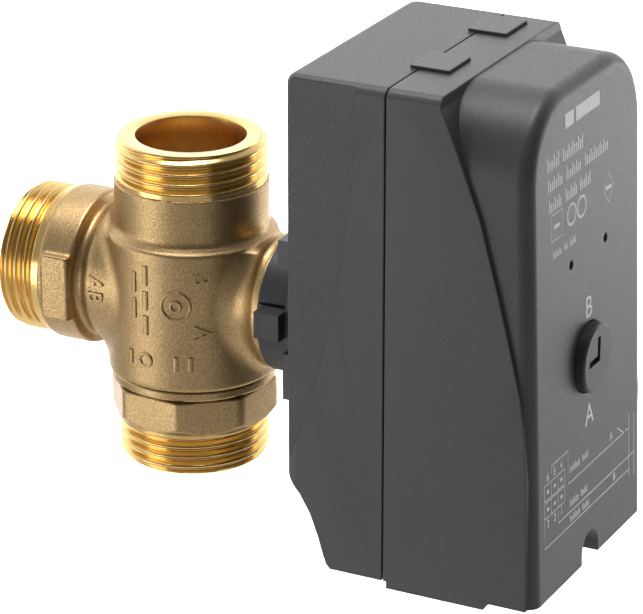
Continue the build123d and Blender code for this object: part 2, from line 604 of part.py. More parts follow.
with BuildPart() as gear_plate:
    with BuildSketch(deep(PLATE_D)) as outline:
        with Locations((0, 12.5)):
            Rectangle(48.6, 75.0)
        with Locations((0, 54.0)):
            Rectangle(37.0, 8.0)
        with Locations(*PLATE_POSTS, *MOTOR_EARS):
            Circle(SMALL_SCREW_R + 0.1, mode=Mode.SUBTRACT)
        with Locations(*SWITCH_PINS):
            Circle(SWITCH_PIN_R + FIT, mode=Mode.SUBTRACT)
        with Locations(THIRD_AT, SECOND_AT):
            Circle(AXLE_R + FIT, mode=Mode.SUBTRACT)
        with Locations(MOTOR_AT):
            Circle(3.6, mode=Mode.SUBTRACT)
        Circle(SHAFT_R + 2.6, mode=Mode.SUBTRACT)
    extrude(outline.sketch, amount=PLATE_T)
save(gear_plate.part, "gear_plate")

with BuildPart() as gear_plate_screws:
    for x, z in PLATE_POSTS:
        screw(PLATE_FRONT, SMALL_SCREW_R, -9.0, 2.2, 1.4, (x, z))
save(gear_plate_screws.part, "gear_plate_screws")

with BuildPart() as gear_axles:
    for x, z in (THIRD_AT, SECOND_AT):
        extrude(ring_face(deep(39.7), AXLE_R, at=(x, z)), amount=PLATE_FRONT - 0.1 - 39.7)
save(gear_axles.part, "gear_axles")

with BuildPart() as shaft_rear_bush:
    extrude(ring_face(deep(34.6), SHAFT_R + 1.6 - FIT, SHAFT_R + RUN), amount=FLOOR_D - 34.6)
save(shaft_rear_bush.part, "shaft_rear_bush")

with BuildPart() as shaft_plate_bush:
    extrude(ring_face(deep(PLATE_D), SHAFT_R + 2.6 - FIT, KEY_R + 0.2), amount=PLATE_T)
    extrude(ring_face(deep(PLATE_D - 1.0), SHAFT_R + 3.6, KEY_R + 0.2), amount=1.0)
save(shaft_plate_bush.part, "shaft_plate_bush")

# ---------------------------------------------------------------- output train
GEAR_D = 43.0
GEAR_T = 5.0
MID_D = 48.4
MID_T = 3.2
TOP_D = 52.0
TOP_T = 3.0
OUT = (0.0, 0.0)


def keyway(start, length):
    """Slot for the output shaft's key."""
    extrude(box_face(deep(start), (-KEY_HALF - FIT, 0), (KEY_HALF + FIT, KEY_R + FIT)), amount=length,
            mode=Mode.SUBTRACT)


with BuildPart() as output_shaft:
    extrude(ring_face(deep(34.7), SHAFT_R), amount=51.3)
    extrude(box_face(deep(GEAR_D - 0.4), (-KEY_HALF, 0), (KEY_HALF, KEY_R)), amount=31.0)
    extrude(box_face(deep(86.0), (-3, -3), (3, 3)), amount=6.0)
    extrude(box_face(deep(34.0), (-STEM_SQUARE / 2 - RUN, -STEM_SQUARE / 2 - RUN),
                     (STEM_SQUARE / 2 + RUN, STEM_SQUARE / 2 + RUN)), amount=8.6, mode=Mode.SUBTRACT)
save(output_shaft.part, "output_shaft")

with BuildPart() as output_gear:
    extrude(gear_face(deep(GEAR_D), OUTPUT_TEETH, OUT, bearing(OUT, THIRD_AT)), amount=GEAR_T)
    extrude(ring_face(deep(GEAR_D - 0.4), 9.0), amount=GEAR_T + 2.0)
    with BuildSketch(deep(GEAR_D)) as web:
        with PolarLocations(14.5, 6, start_angle=30):
            Circle(3.0)
    extrude(web.sketch, amount=GEAR_T, mode=Mode.SUBTRACT)
    extrude(ring_face(deep(GEAR_D - 1), SHAFT_R + FIT), amount=9.0, mode=Mode.SUBTRACT)
    keyway(GEAR_D - 1, 9.0)
save(output_gear.part, "output_gear")

with BuildPart() as second_stage_gear:
    extrude(gear_face(deep(GEAR_D - 0.2), PINION_TEETH, THIRD_AT,
                      bearing(THIRD_AT, OUT) + 180.0 / PINION_TEETH), amount=MID_D - GEAR_D + 0.2)
    extrude(gear_face(deep(MID_D), WHEEL_TEETH, THIRD_AT, bearing(THIRD_AT, SECOND_AT)), amount=MID_T)
    extrude(ring_face(deep(MID_D + MID_T), 3.0, at=THIRD_AT), amount=PLATE_D - 0.2 - MID_D - MID_T)
    extrude(ring_face(deep(GEAR_D - 1), AXLE_R + RUN, at=THIRD_AT), amount=20.0, mode=Mode.SUBTRACT)
save(second_stage_gear.part, "second_stage_gear")

with BuildPart() as first_stage_gear:
    extrude(ring_face(deep(GEAR_D - 0.4), 3.2, at=SECOND_AT), amount=MID_D - GEAR_D + 0.4)
    extrude(gear_face(deep(MID_D - 0.2), PINION_TEETH, SECOND_AT,
                      bearing(SECOND_AT, THIRD_AT) + 180.0 / PINION_TEETH), amount=TOP_D - MID_D + 0.2)
    extrude(gear_face(deep(TOP_D), WHEEL_TEETH, SECOND_AT, bearing(SECOND_AT, MOTOR_AT)), amount=TOP_T)
    extrude(ring_face(deep(TOP_D + TOP_T), 3.2, at=SECOND_AT), amount=PLATE_D - 0.2 - TOP_D - TOP_T)
    extrude(ring_face(deep(GEAR_D - 1), AXLE_R + RUN, at=SECOND_AT), amount=20.0, mode=Mode.SUBTRACT)
save(first_stage_gear.part, "first_stage_gear")

# ---------------------------------------------------------------- motor
MOTOR_D = 15.6
EAR_R = 3.0
EAR_T = 1.2
MOTOR_SHAFT_R = 1.0

with BuildPart() as motor:
    extrude(ring_face(deep(PLATE_FRONT), MOTOR_R, at=MOTOR_AT), amount=MOTOR_D)
    can_end = motor.faces().sort_by(Axis.Y)[0].edges()
    fillet(can_end, 1.0)
    for x, z in MOTOR_EARS:
        extrude(ring_face(deep(PLATE_FRONT), EAR_R, at=(x, z)), amount=EAR_T)
    extrude(ring_face(deep(PLATE_FRONT + MOTOR_D), 5.0, at=MOTOR_AT), amount=1.6)
    for x, z in MOTOR_EARS:
        extrude(ring_face(deep(PLATE_FRONT), SMALL_SCREW_R + 0.1, at=(x, z)), amount=EAR_T,
                mode=Mode.SUBTRACT)
    extrude(ring_face(deep(PLATE_FRONT), MOTOR_SHAFT_R + RUN, at=MOTOR_AT), amount=9.0, mode=Mode.SUBTRACT)
save(motor.part, "motor")

with BuildPart() as motor_shaft:
    extrude(ring_face(deep(TOP_D - 0.6), MOTOR_SHAFT_R, at=MOTOR_AT), amount=16.0)
save(motor_shaft.part, "motor_shaft")

with BuildPart() as motor_pinion:
    extrude(gear_face(deep(TOP_D - 0.2), PINION_TEETH, MOTOR_AT,
                      bearing(MOTOR_AT, SECOND_AT) + 180.0 / PINION_TEETH), amount=TOP_T + 0.4)
    extrude(ring_face(deep(TOP_D + TOP_T + 0.2), 2.6, at=MOTOR_AT), amount=2.0)
    extrude(ring_face(deep(TOP_D - 1), MOTOR_SHAFT_R + FIT / 2, at=MOTOR_AT), amount=9.0, mode=Mode.SUBTRACT)
save(motor_pinion.part, "motor_pinion")

with BuildPart() as motor_screws:
    for x, z in MOTOR_EARS:
        screw(PLATE_FRONT + EAR_T, SMALL_SCREW_R, -3.4, 2.2, 1.4, (x, z))
save(motor_screws.part, "motor_screws")

# ---------------------------------------------------------------- cams and switches
CAM_LOW = 8.6
CAM_HIGH = 10.5
CAM_T = 4.0
SWITCH_T = 5.8
SWITCH_TOP = -12.5

for letter, start, lobe in (("a", 61.5, 90.0), ("b", 69.0, 180.0)):
    with BuildPart() as cam:
        extrude(ring_face(deep(start), CAM_LOW), amount=CAM_T)
        with BuildSketch(deep(start)) as sector:
            with BuildLine():
                first = math.radians(-lobe - 35)
                last = math.radians(-lobe + 35)
                CenterArc((0, 0), CAM_HIGH, -lobe - 35, 70)
                Line((CAM_HIGH * math.cos(last), CAM_HIGH * math.sin(last)), (0, 0))
                Line((0, 0), (CAM_HIGH * math.cos(first), CAM_HIGH * math.sin(first)))
            make_face()
        extrude(sector.sketch, amount=CAM_T)
        extrude(ring_face(deep(start - 1), SHAFT_R + FIT), amount=CAM_T + 2, mode=Mode.SUBTRACT)
        keyway(start - 1, CAM_T + 2)
    save(cam.part, "cam_" + letter)
    middle = start + CAM_T / 2
    with BuildPart() as switch:
        extrude(box_face(deep(middle - SWITCH_T / 2), (-6.4, SWITCH_TOP - 7.0), (6.4, SWITCH_TOP)),
                amount=SWITCH_T)
        for x in (-5.0, 0.0, 5.0):
            extrude(box_face(deep(middle - 1.6), (x - 0.3, SWITCH_TOP - 10.0), (x + 0.3, SWITCH_TOP - 6.9)),
                    amount=3.2)
        for x, z in SWITCH_PINS:
            extrude(ring_face(deep(middle - SWITCH_T), SWITCH_PIN_R + FIT, at=(x, z)), amount=2 * SWITCH_T,
                    mode=Mode.SUBTRACT)
        extrude(box_face(deep(middle - 0.85), (-0.85, SWITCH_TOP - 3.0), (0.85, SWITCH_TOP)), amount=1.7,
                mode=Mode.SUBTRACT)
    save(switch.part, "microswitch_" + letter)
    with BuildPart() as plunger:
        extrude(box_face(deep(middle - 0.8), (-0.8, SWITCH_TOP - 2.9), (0.8, -CAM_HIGH - 0.15)), amount=1.6)
    save(plunger.part, "switch_plunger_" + letter)

with BuildPart() as switch_pins:
    for x, z in SWITCH_PINS:
        extrude(ring_face(deep(PLATE_D), SWITCH_PIN_R, at=(x, z)), amount=17.0)
save(switch_pins.part, "switch_pins")

# ---------------------------------------------------------------- circuit board
with BuildPart() as circuit_board:
    with BuildSketch(deep(BOARD_D)) as outline:
        with Locations((0, -12.5)):
            Rectangle(49.0, 57.0)
        for x in (-24.5, 24.5):
            with Locations((x, -41.0)):
                Rectangle(14.0, 12.0, mode=Mode.SUBTRACT)
        with Locations(*BOARD_POSTS):
            Circle(SMALL_SCREW_R + 0.1, mode=Mode.SUBTRACT)
        Circle(SHAFT_R + 1.0, mode=Mode.SUBTRACT)
    extrude(outline.sketch, amount=BOARD_T)
save(circuit_board.part, "circuit_board")

with BuildPart() as board_screws:
    for x, z in BOARD_POSTS:
        screw(BOARD_D, SMALL_SCREW_R, 7.0, 2.2, 1.4, (x, z))
save(board_screws.part, "board_screws")

with BuildPart() as run_capacitor:
    extrude(box_face(deep(BOARD_D - 9.0), (-17.0, -35.5), (4.0, -25.5)), amount=8.9)
    fillet(run_capacitor.faces().sort_by(Axis.Y)[-1].edges(), 0.6)
save(run_capacitor.part, "run_capacitor")

with BuildPart() as series_resistor:
    with BuildSketch(Plane.YZ.offset(6.5)) as body:
        with Locations((-BOARD_D + 2.6, BALL_Z - 30.0)):
            Circle(2.2)
    extrude(body.sketch, amount=9.0)
    fillet(series_resistor.edges(), 0.5)
    with BuildSketch(Plane.YZ.offset(5.2)) as lead:
        with Locations((-BOARD_D + 2.6, BALL_Z - 30.0)):
            Circle(0.35)
    extrude(lead.sketch, amount=11.6)
save(series_resistor.part, "series_resistor")

# ---------------------------------------------------------------- terminal socket
SOCKET_PLACES = [(x, d) for x in (-6.0, 0.0, 6.0) for d in (69.6, 76.4)]
PIN_RECESS = 4.4

with BuildPart() as connector_socket:
    with BuildSketch(high(SKIRT_BOTTOM + 0.1)) as body:
        with Locations((0, -(SOCKET_BACK + SOCKET_FRONT) / 2)):
            Rectangle(2 * SOCKET_HALF - 0.2, SOCKET_FRONT - SOCKET_BACK - 0.2)
    extrude(body.sketch, amount=10.0)
    with BuildSketch(high(CASE_BOTTOM + WALL + 0.05)) as flange:
        with Locations((0, -(SOCKET_BACK + SOCKET_FRONT) / 2 + 0.6)):
            Rectangle(2 * SOCKET_HALF + 3, SOCKET_FRONT - SOCKET_BACK + 1.0)
    extrude(flange.sketch, amount=2.0)
    with BuildSketch(high(SKIRT_BOTTOM)) as shroud:
        with Locations((0, -(SOCKET_BACK + SOCKET_FRONT) / 2)):
            Rectangle(2 * SOCKET_HALF - 1.8, SOCKET_FRONT - SOCKET_BACK - 1.8)
    extrude(shroud.sketch, amount=8.0, mode=Mode.SUBTRACT)
    with BuildSketch(high(SKIRT_BOTTOM)) as holes:
        with Locations(*[(x, -d) for x, d in SOCKET_PLACES]):
            Rectangle(0.84, 0.84)
    extrude(holes.sketch, amount=12.0, mode=Mode.SUBTRACT)
save(connector_socket.part, "connector_socket")

with BuildPart() as socket_pins:
    with BuildSketch(high(SKIRT_BOTTOM + PIN_RECESS)) as section:
        with Locations(*[(x, -d) for x, d in SOCKET_PLACES]):
            Rectangle(0.8, 0.8)
    extrude(section.sketch, amount=11.8 - PIN_RECESS)
save(socket_pins.part, "socket_pins")

# ---------------------------------------------------------------- dial
with BuildPart() as position_dial:
    extrude(ring_face(deep(90.2), DIAL_R), amount=DIAL_FACE - 90.2)
    chamfer(position_dial.faces().sort_by(Axis.Y)[0].edges(), 0.4)
    extrude(ring_face(deep(89.8), DIAL_R + 1.6), amount=1.2)
    with BuildSketch(deep(DIAL_FACE - DIAL_SLOT)) as mark:
        Rectangle(1.5, 1.5)
        with Locations((0, 2.4)):
            Rectangle(1.5, 5.0)
        with Locations((-2.4, 0)):
            Rectangle(5.0, 1.5)
    extrude(mark.sketch, amount=2.0, mode=Mode.SUBTRACT)
    extrude(box_face(deep(89.0), (-3 - FIT, -3 - FIT), (3 + FIT, 3 + FIT)), amount=3.2,
            mode=Mode.SUBTRACT)
save(position_dial.part, "position_dial")
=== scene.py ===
import json
import math

import bmesh
import bpy
import numpy as np
from mathutils import Matrix, Vector


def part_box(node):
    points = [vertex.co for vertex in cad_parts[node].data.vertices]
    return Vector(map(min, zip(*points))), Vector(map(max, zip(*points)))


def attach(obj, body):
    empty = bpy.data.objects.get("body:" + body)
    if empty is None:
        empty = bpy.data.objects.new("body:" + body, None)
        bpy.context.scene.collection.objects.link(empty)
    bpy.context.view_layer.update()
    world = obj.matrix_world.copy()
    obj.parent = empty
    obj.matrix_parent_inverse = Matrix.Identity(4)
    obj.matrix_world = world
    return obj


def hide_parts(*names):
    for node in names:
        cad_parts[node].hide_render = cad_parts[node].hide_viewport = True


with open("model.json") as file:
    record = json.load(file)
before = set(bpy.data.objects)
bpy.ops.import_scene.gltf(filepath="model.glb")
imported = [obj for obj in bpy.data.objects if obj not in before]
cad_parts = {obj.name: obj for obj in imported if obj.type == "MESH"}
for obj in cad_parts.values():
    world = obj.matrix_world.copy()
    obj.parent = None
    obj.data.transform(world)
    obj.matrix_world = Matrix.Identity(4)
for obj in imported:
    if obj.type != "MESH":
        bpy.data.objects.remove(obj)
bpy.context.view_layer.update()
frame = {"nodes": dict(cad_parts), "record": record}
nodes = frame["nodes"]

# Looks of a three-way brass valve with an electric actuator.
# Row frame in metres: Z up the pipe, -Y towards the dial. MM turns millimetres into metres.
MM = 0.001
ROOT = "valve_and_casing"

mounts = {m["name"]: m for m in frame["record"]["mounts"]}
CREST_R = mounts["port_b"]["dims"]["r_mm"] * MM
BORE_R = mounts["port_b_bore"]["dims"]["r_mm"] * MM
BALL_Z = mounts["port_ab"]["pos_m"][2]
BODY_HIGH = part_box("valve_body")[1]
BARREL_R = BODY_HIGH[0] / MM
THREAD_LEN = 10.0 * MM


# ------------------------------------------------------------------ material helpers
class Shader:
    """A material under construction: short calls for the node types that are used here."""

    def __init__(self, name, base, rough, metallic=0.0, edge=0.0):
        self.material = bpy.data.materials.new(name)
        self.material.use_nodes = True
        self.tree = self.material.node_tree
        self.surface = self.tree.nodes["Principled BSDF"]
        self.surface.inputs["Base Color"].default_value = (*base, 1.0)
        self.surface.inputs["Roughness"].default_value = rough
        self.surface.inputs["Metallic"].default_value = metallic
        self.normal = None
        if edge:
            bevel = self.tree.nodes.new("ShaderNodeBevel")
            bevel.samples = 4
            bevel.inputs["Radius"].default_value = edge
            self.normal = bevel.outputs["Normal"]
            self.link(self.normal, self.surface.inputs["Normal"])

    def link(self, source, target):
        """Joins two sockets."""
        self.tree.links.new(source, target)

    def coordinates(self):
        """Position on the object, in metres."""
        return self.tree.nodes.new("ShaderNodeTexCoord").outputs["Object"]

    def noise(self, scale, detail=3.0, roughness=0.6, vector=None):
        """Cloudy pattern between 0 and 1."""
        node = self.tree.nodes.new("ShaderNodeTexNoise")
        node.inputs["Scale"].default_value = scale
        node.inputs["Detail"].default_value = detail
        node.inputs["Roughness"].default_value = roughness
        self.link(vector or self.coordinates(), node.inputs["Vector"])
        return node.outputs["Fac"]

    def cells(self, scale):
        """Distance from the nearest of many scattered points."""
        node = self.tree.nodes.new("ShaderNodeTexVoronoi")
        node.inputs["Scale"].default_value = scale
        self.link(self.coordinates(), node.inputs["Vector"])
        return node.outputs["Distance"]

    def spread(self, value, low, high, out_low=0.0, out_high=1.0):
        """Stretches the range from low to high over the range from out_low to out_high."""
        node = self.tree.nodes.new("ShaderNodeMapRange")
        node.inputs["From Min"].default_value = low
        node.inputs["From Max"].default_value = high
        node.inputs["To Min"].default_value = out_low
        node.inputs["To Max"].default_value = out_high
        self.link(value, node.inputs["Value"])
        return node.outputs["Result"]

    def combine(self, kind, first, second):
        """A sum, product or other operation on two sockets or numbers."""
        node = self.tree.nodes.new("ShaderNodeMath")
        node.operation = kind
        for socket, value in zip(node.inputs, (first, second)):
            if isinstance(value, (int, float)):
                socket.default_value = value
            else:
                self.link(value, socket)
        return node.outputs["Value"]

    def blend(self, factor, first, second):
        """Mixes two colours, which are sockets or tuples."""
        node = self.tree.nodes.new("ShaderNodeMix")
        node.data_type = "RGBA"
        self.link(factor, node.inputs["Factor"])
        for socket, value in ((node.inputs["A"], first), (node.inputs["B"], second)):
            if isinstance(value, tuple):
                socket.default_value = (*value, 1.0)
            else:
                self.link(value, socket)
        return node.outputs["Result"]

    def turned(self, axis, round_scale, along_scale):
        """Coordinates for tool marks: radius and length with one stretch, angle with another."""
        separate = self.tree.nodes.new("ShaderNodeSeparateXYZ")
        self.link(self.coordinates(), separate.inputs["Vector"])
        x, y, z = (separate.outputs[c] for c in "XYZ")
        flat, length = ((x, y), z) if axis == "Z" else ((x, self.combine("SUBTRACT", z, BALL_Z)), y)
        squares = [self.combine("MULTIPLY", part, part) for part in flat]
        radius = self.combine("SQRT", self.combine("ADD", *squares), 0.0)
        joined = self.tree.nodes.new("ShaderNodeCombineXYZ")
        self.link(self.combine("MULTIPLY", radius, along_scale), joined.inputs["X"])
        self.link(self.combine("MULTIPLY", length, along_scale), joined.inputs["Y"])
        angle = self.combine("ARCTAN2", *flat)
        self.link(self.combine("MULTIPLY", angle, round_scale * BORE_R), joined.inputs["Z"])
        return joined.outputs["Vector"]

    def pointiness(self):
        """How far the surface bulges: above a half on edges."""
        return self.tree.nodes.new("ShaderNodeNewGeometry").outputs["Pointiness"]

    def colour(self, value):
        """Sets the base colour to a socket."""
        self.link(value, self.surface.inputs["Base Color"])

    def rough(self, value):
        """Sets the roughness to a socket."""
        self.link(value, self.surface.inputs["Roughness"])

    def bump(self, height, depth, strength=1.0):
        """Adds a bump layer whose full height is depth metres."""
        node = self.tree.nodes.new("ShaderNodeBump")
        node.inputs["Distance"].default_value = depth
        node.inputs["Strength"].default_value = strength
        self.link(height, node.inputs["Height"])
        if self.normal:
            self.link(self.normal, node.inputs["Normal"])
        self.normal = node.outputs["Normal"]
        self.link(self.normal, self.surface.inputs["Normal"])


def shade(colour, factor, lift=0.0):
    """A colour made darker or lighter."""
    return tuple(min(1.0, c * factor + lift) for c in colour)


def cast_brass(name="cast_brass_look", grain_depth=0.10, rough=0.40):
    """Shot-blasted casting: a fine pebbled skin with darker hollows and soft stains."""
    s = Shader(name, (0.50, 0.33, 0.14), rough, metallic=1.0)
    grain = s.noise(2600.0, 3.0, 0.7)
    pebbles = s.cells(3200.0)
    stains = s.noise(90.0, 4.0, 0.6)
    toned = s.blend(s.spread(stains, 0.35, 0.68), (0.50, 0.35, 0.18), (0.57, 0.41, 0.22))
    spotted = s.blend(s.spread(grain, 0.40, 0.60), (0.37, 0.24, 0.10), toned)
    s.colour(spotted)
    s.rough(s.spread(grain, 0.35, 0.65, rough + 0.05, rough - 0.05))
    s.bump(grain, grain_depth * MM, 0.5)
    s.bump(pebbles, 0.6 * grain_depth * MM, 0.4)
    s.bump(stains, 0.5 * MM, 0.10)
    return s.material


def machined_brass(name, axis, tint, rough, round_scale=20.0, along_scale=9000.0):
    """Turned brass: bright, with fine tool lines and faint tarnish."""
    s = Shader(name, tint, rough, metallic=1.0)
    lines = s.noise(1.0, 2.0, 0.5, s.turned(axis, round_scale, along_scale))
    bands = s.noise(0.12, 3.0, 0.6, s.turned(axis, round_scale, along_scale))
    tarnish = s.noise(140.0, 4.0, 0.6)
    s.colour(s.blend(s.spread(tarnish, 0.35, 0.7), shade(tint, 0.84), tint))
    s.rough(s.combine("ADD", s.spread(lines, 0.3, 0.7, rough - 0.05, rough + 0.05),
                      s.spread(tarnish, 0.3, 0.7, 0.06, -0.02)))
    s.bump(lines, 0.01 * MM, 0.5)
    s.bump(bands, 0.02 * MM, 0.35)
    return s.material


def moulded(name, base, rough, grain, scale=2200.0, edge=0.0):
    """Moulded plastic with a spark-eroded grain, faint flow marks and a painted highlight: paler colour on
    edges, where the surface bulges.
    """
    s = Shader(name, base, rough, edge=edge)
    fine = s.noise(scale, 3.0, 0.65)
    flow = s.noise(35.0, 3.0, 0.5)
    toned = s.blend(s.spread(flow, 0.35, 0.65), shade(base, 0.92), shade(base, 1.08))
    speck = s.blend(s.spread(fine, 0.50, 0.72), toned, shade(base, 1.45, 0.003))
    # painted highlight: the colour turns paler where pointiness marks an edge
    painted_edge_highlight = s.spread(s.pointiness(), 0.52, 0.60, 0.0, 0.35)
    s.colour(s.blend(painted_edge_highlight, speck, shade(base, 1.6, 0.02)))
    s.rough(s.spread(fine, 0.3, 0.7, rough + 0.06, rough - 0.06))
    s.bump(fine, grain * MM, 0.6)
    return s.material


def metal(name, base, rough=0.3):
    """Plated or drawn metal with a mottled gloss and faint darker clouds."""
    s = Shader(name, base, rough, metallic=1.0)
    mottle = s.noise(700.0, 4.0, 0.7)
    clouds = s.noise(60.0, 3.0, 0.5)
    s.colour(s.blend(s.spread(clouds, 0.3, 0.7), shade(base, 0.85), base))
    s.rough(s.spread(mottle, 0.3, 0.7, rough - 0.08, rough + 0.1))
    s.bump(mottle, 0.01 * MM, 0.5)
    return s.material


# tints of turned brass, outside and in the bores
BRIGHT = (0.86, 0.58, 0.22)
BORED = (0.90, 0.55, 0.19)
LOOKS = {
    "cast_brass": cast_brass(),
    "satin_brass": cast_brass("satin_brass_look", 0.025, 0.34),
    "machined_brass": machined_brass("machined_brass_look", "Z", BRIGHT, 0.2),
    "side_thread": machined_brass("side_thread_look", "Y", BRIGHT, 0.2),
    "bored_brass": machined_brass("bored_brass_look", "Z", BORED, 0.3, 4000.0, 40.0),
    "side_bore": machined_brass("side_bore_look", "Y", BORED, 0.3, 4000.0, 40.0),
    "black_rubber": moulded("black_rubber_look", (0.02, 0.02, 0.02), 0.6, 0.03),
    "white_ptfe": moulded("white_ptfe_look", (0.80, 0.80, 0.77), 0.4, 0.01),
    "collar_plastic": moulded("collar_plastic_look", (0.014, 0.015, 0.018), 0.42, 0.03, edge=0.4 * MM),
    "casing_plastic": moulded("casing_plastic_look", (0.043, 0.044, 0.046), 0.44, 0.05, edge=0.5 * MM),
    "zinc_steel": metal("zinc_steel_look", (0.62, 0.63, 0.65)),
    "motor_can": metal("motor_can_look", (0.55, 0.56, 0.58), 0.35),
    "switch_plastic": moulded("switch_plastic_look", (0.03, 0.03, 0.035), 0.35, 0.02),
    "white_acetal": moulded("white_acetal_look", (0.76, 0.75, 0.69), 0.35, 0.01),
    "red_acetal": moulded("red_acetal_look", (0.42, 0.04, 0.03), 0.35, 0.01),
    "board_laminate": moulded("board_laminate_look", (0.02, 0.16, 0.05), 0.3, 0.01, scale=900.0),
    "capacitor_film": moulded("capacitor_film_look", (0.55, 0.36, 0.03), 0.3, 0.01),
    "resistor_coat": moulded("resistor_coat_look", (0.20, 0.34, 0.48), 0.3, 0.01),
    "tinned_pins": metal("tinned_pins_look", (0.75, 0.74, 0.70), 0.25),
    "ball_chrome": metal("ball_chrome_look", (0.78, 0.78, 0.80), 0.08),
    "dial_plastic": moulded("dial_plastic_look", (0.030, 0.031, 0.033), 0.42, 0.03, edge=0.3 * MM),
    "print": moulded("print_look", (0.70, 0.71, 0.72), 0.55, 0.01),
    "floor": Shader("floor_look", (0.90, 0.90, 0.90), 0.7).material,
}


def finish_nodes():
    """Gives every CAD node the look of its material slot."""
    for entry in frame["record"]["subparts"]:
        node = nodes[entry["node"]]
        node.data.materials.clear()
        node.data.materials.append(LOOKS[entry["material_slot"]])


# ------------------------------------------------------------------ mesh helpers
def add_piece(name, vertices, faces, look, smooth=True):
    """A new mesh object with one look."""
    mesh = bpy.data.meshes.new(name)
    mesh.from_pydata([tuple(v) for v in vertices], [], faces)
    mesh.validate()
    mesh.update()
    piece = bpy.data.objects.new(name, mesh)
    bpy.context.scene.collection.objects.link(piece)
    mesh.materials.append(LOOKS[look])
    if smooth:
        mesh.shade_smooth()
    else:
        mesh.shade_flat()
    return piece


def soften(piece, degrees):
    """Outward normals, and smooth shading that keeps edges sharper than an angle."""
    work = bmesh.new()
    work.from_mesh(piece.data)
    bmesh.ops.recalc_face_normals(work, faces=work.faces)
    limit = math.radians(degrees)
    for edge in work.edges:
        edge.smooth = len(edge.link_faces) == 2 and edge.calc_face_angle(0.0) < limit
    work.to_mesh(piece.data)
    work.free()


def apply_modifiers(piece):
    """Bakes a piece's modifiers into its mesh."""
    bpy.context.view_layer.update()
    baked = bpy.data.meshes.new_from_object(piece.evaluated_get(bpy.context.evaluated_depsgraph_get()))
    piece.modifiers.clear()
    old = piece.data
    piece.data = baked
    bpy.data.meshes.remove(old)


def loop_faces(rows, around):
    """Faces of a closed sweep: each row of points is joined to the next, and the last to the first."""
    faces = []
    for i in range(rows):
        here, after = i * around, (i + 1) % rows * around
        for j in range(around):
            k = (j + 1) % around
            faces.append((here + j, here + k, after + k, after + j))
    return faces


def points_of(mesh):
    """Vertex positions as an array."""
    points = np.empty(len(mesh.vertices) * 3)
    mesh.vertices.foreach_get("co", points)
    return points.reshape(-1, 3)


def attached(piece, slot, *replaced):
    """Rides a piece on the fixed body and hides the CAD nodes it stands for. Its slot is not used."""
    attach(piece, ROOT)
    if replaced:
        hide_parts(*replaced)


# ------------------------------------------------------------------ pipe threads
PITCH = 2.309 * MM            # 11 threads to the inch
THREAD_DEPTH = 1.3 * MM
THREAD_FLAT = 0.08            # share of half a pitch that is flat in the root, and on the crest
THREAD_ROUNDNESS = 0.55       # 0 for straight flanks, 1 for a smooth wave
RUNOUT = 0.9 * MM             # length over which a thread fades in
CHAMFER = 1.1 * MM            # how far the end of a thread is turned down
CHAMFER_SLOPE = 0.85
FACE_STEP = 0.15 * MM         # from the chamfer's edge in to the end face
RIM = 0.35 * MM               # rounding between end face and bore
WALL = 1.2 * MM               # of the tube behind a thread
ROUND = 180                   # points round a thread


def thread_shape(phase):
    """Height of the rounded Whitworth form, 1 on the crest and 0 in the root."""
    from_root = np.abs(phase - 0.5) * 2.0
    ramp = np.clip((from_root - THREAD_FLAT) / (1 - 2 * THREAD_FLAT), 0.0, 1.0)
    return ramp * ramp * (3 - 2 * ramp) * THREAD_ROUNDNESS + ramp * (1 - THREAD_ROUNDNESS)


def threaded_end(name, place, length, plain, tail, looks, step=0.11 * MM):
    """Bored tube with a male thread along local Z, plain at its start and chamfered at its end."""
    angles = np.linspace(0, 2 * math.pi, ROUND, endpoint=False)
    rows = []
    for z in np.arange(0.0, length + step / 2, step):
        z = min(z, length)
        phase = np.mod(z / PITCH - angles / (2 * math.pi), 1.0)
        fade = np.clip((z - plain) / RUNOUT, 0.0, 1.0)
        radius = CREST_R - THREAD_DEPTH * (1 - thread_shape(phase)) * fade
        radius = np.minimum(radius, CREST_R - CHAMFER + (length - z) * CHAMFER_SLOPE)
        rows.append((radius, z))
    flat = np.ones(ROUND)
    rows.append(((CREST_R - CHAMFER - FACE_STEP) * flat, length))
    rows.append(((BORE_R + RIM) * flat, length))
    outer_rows = len(rows)
    rows.append(((BORE_R + 0.3 * RIM) * flat, length - 0.3 * RIM))
    rows.append((BORE_R * flat, length - RIM))
    for share in (0.25, 0.5, 0.75, 1.0):
        rows.append((BORE_R * flat, length - RIM - share * (length - RIM + tail)))
    rows.append(((BORE_R + WALL) * flat, -tail))
    rows.append(((BORE_R + WALL) * flat, 0.0))
    points = []
    for radius, z in rows:
        for r, a in zip(radius, angles):
            points.append(place @ Vector((r * math.cos(a), r * math.sin(a), z)))
    faces = loop_faces(len(rows), ROUND)
    piece = add_piece(name, points, faces, looks[0])
    piece.data.materials.append(LOOKS[looks[1]])
    bored = [int(outer_rows <= i // ROUND < len(rows) - 1) for i in range(len(faces))]
    piece.data.polygons.foreach_set("material_index", bored)
    soften(piece, 40)
    return piece


def make_threads():
    """The three threaded ends, with their bores."""
    branch = THREAD_LEN + 0.5 * MM    # the side port's turned length is a little longer
    up = Matrix.Translation((0, 0, BODY_HIGH[2] - THREAD_LEN))
    side = Matrix.Translation((0, BODY_HIGH[1] - branch, BALL_Z)) @ Matrix.Rotation(-math.pi / 2, 4, "X")
    down = Matrix.Translation((0, 0, THREAD_LEN)) @ Matrix.Rotation(math.pi, 4, "X")
    upright, sideways = ("machined_brass", "bored_brass"), ("side_thread", "side_bore")
    ends = (
        # name, place, length, plain start in mm, bore behind the thread in mm, looks
        ("port_b_thread", up, THREAD_LEN, 0.9, 8.4, upright),
        ("port_ab_thread", side, branch, 1.7, 12.0, sideways),
        ("port_a_thread", down, THREAD_LEN, 0.9, 13.4, upright),
    )
    for name, place, length, plain, tail, looks in ends:
        piece = threaded_end(name, place, length, plain * MM, tail * MM, looks)
        attached(piece, "machined_brass")


